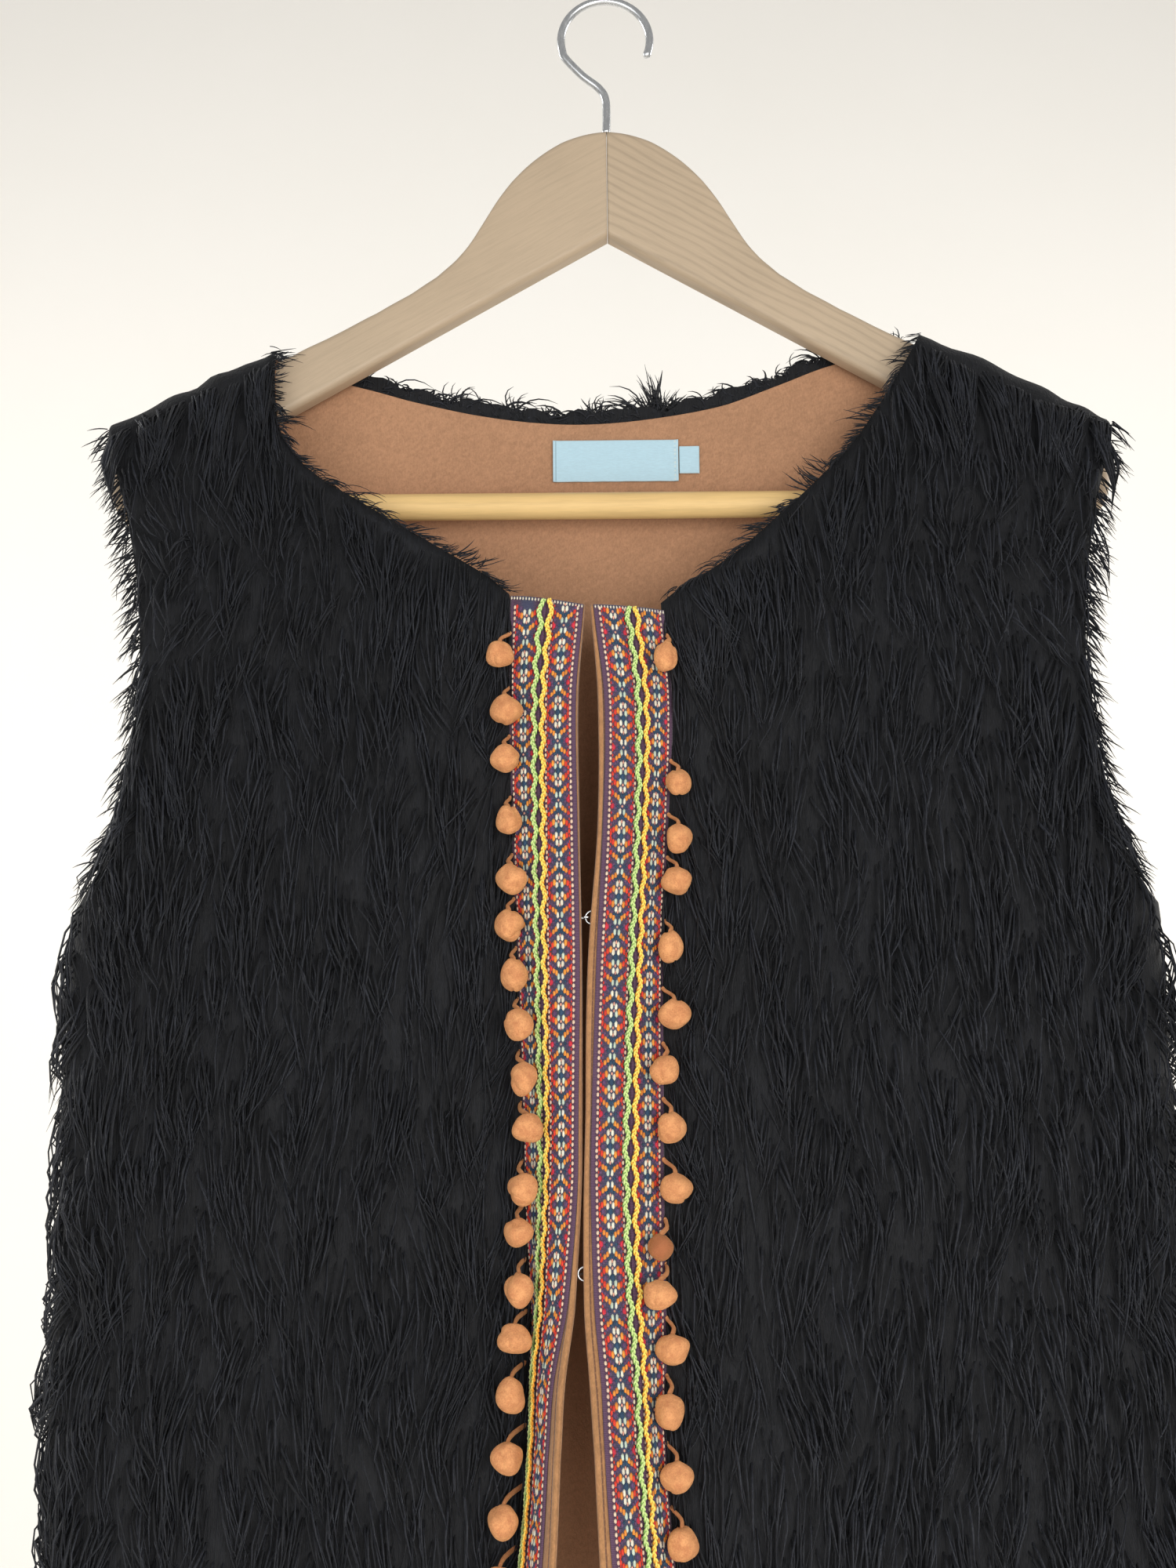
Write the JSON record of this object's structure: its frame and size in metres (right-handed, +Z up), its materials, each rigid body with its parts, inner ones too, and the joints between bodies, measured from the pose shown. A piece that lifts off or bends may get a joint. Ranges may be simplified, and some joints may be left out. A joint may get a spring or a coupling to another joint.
{
  "type": "fur vest on hanger",
  "caption": "Sleeveless open-front fur vest with woven ribbon and pompom front bands, suede lining, hung on a wooden hanger.",
  "frame": {"origin": "inside top of the hanger's hook, where a rail carries it", "axes": "+Z up, the vest's front faces -Y, +X to the right of someone facing the front"},
  "size_m": [0.4741, 0.1068, 0.7798],
  "materials": {
    "hanger_wood": "pale beech, satin, lightly worn",
    "hook_steel": "zinc-plated steel wire",
    "black_fur": "long shaggy black fur, soft sheen",
    "suede_lining": "tan suede cloth, matt nap",
    "suede_edge": "tan suede, folded, with a brown stitch line",
    "woven_ribbon": "jacquard ribbon with diamonds in red, orange, mint, cream, navy and purple",
    "lime_cord": "lime crochet cord",
    "yellow_cord": "yellow crochet cord",
    "pompom_cloth": "orange felted cloth balls",
    "label_cloth": "pale blue woven label, left bare",
    "clasp_steel": "bright steel wire"
  },
  "bodies": {
    "root": {"hanger_arm_left": "hanger_wood", "hanger_arm_right": "hanger_wood", "hanger_bar": "hanger_wood", "hanger_hook": "hook_steel", "back_fur": "black_fur", "back_lining": "suede_lining", "front_left_fur": "black_fur", "front_left_lining": "suede_lining", "front_left_edge": "suede_edge", "ribbon_left_inner": "woven_ribbon", "ribbon_left_outer": "woven_ribbon", "braid_left_lime": "lime_cord", "braid_left_yellow": "yellow_cord", "pompom_left_01": "pompom_cloth", "pompom_left_02": "pompom_cloth", "pompom_left_03": "pompom_cloth", "pompom_left_04": "pompom_cloth", "pompom_left_05": "pompom_cloth", "pompom_left_06": "pompom_cloth", "pompom_left_07": "pompom_cloth", "pompom_left_08": "pompom_cloth", "pompom_left_09": "pompom_cloth", "pompom_left_10": "pompom_cloth", "pompom_left_11": "pompom_cloth", "pompom_left_12": "pompom_cloth", "pompom_left_13": "pompom_cloth", "pompom_left_14": "pompom_cloth", "pompom_left_15": "pompom_cloth", "pompom_left_16": "pompom_cloth", "pompom_left_17": "pompom_cloth", "front_right_fur": "black_fur", "front_right_lining": "suede_lining", "front_right_edge": "suede_edge", "ribbon_right_inner": "woven_ribbon", "ribbon_right_outer": "woven_ribbon", "braid_right_lime": "lime_cord", "braid_right_yellow": "yellow_cord", "pompom_right_01": "pompom_cloth", "pompom_right_02": "pompom_cloth", "pompom_right_03": "pompom_cloth", "pompom_right_04": "pompom_cloth", "pompom_right_05": "pompom_cloth", "pompom_right_06": "pompom_cloth", "pompom_right_07": "pompom_cloth", "pompom_right_08": "pompom_cloth", "pompom_right_09": "pompom_cloth", "pompom_right_10": "pompom_cloth", "pompom_right_11": "pompom_cloth", "pompom_right_12": "pompom_cloth", "pompom_right_13": "pompom_cloth", "pompom_right_14": "pompom_cloth", "pompom_right_15": "pompom_cloth", "pompom_right_16": "pompom_cloth", "pompom_right_17": "pompom_cloth", "upper_eye": "clasp_steel", "upper_hook": "clasp_steel", "lower_eye": "clasp_steel", "lower_hook": "clasp_steel", "label": "label_cloth", "size_tab": "label_cloth"}
  },
  "joints": []
}
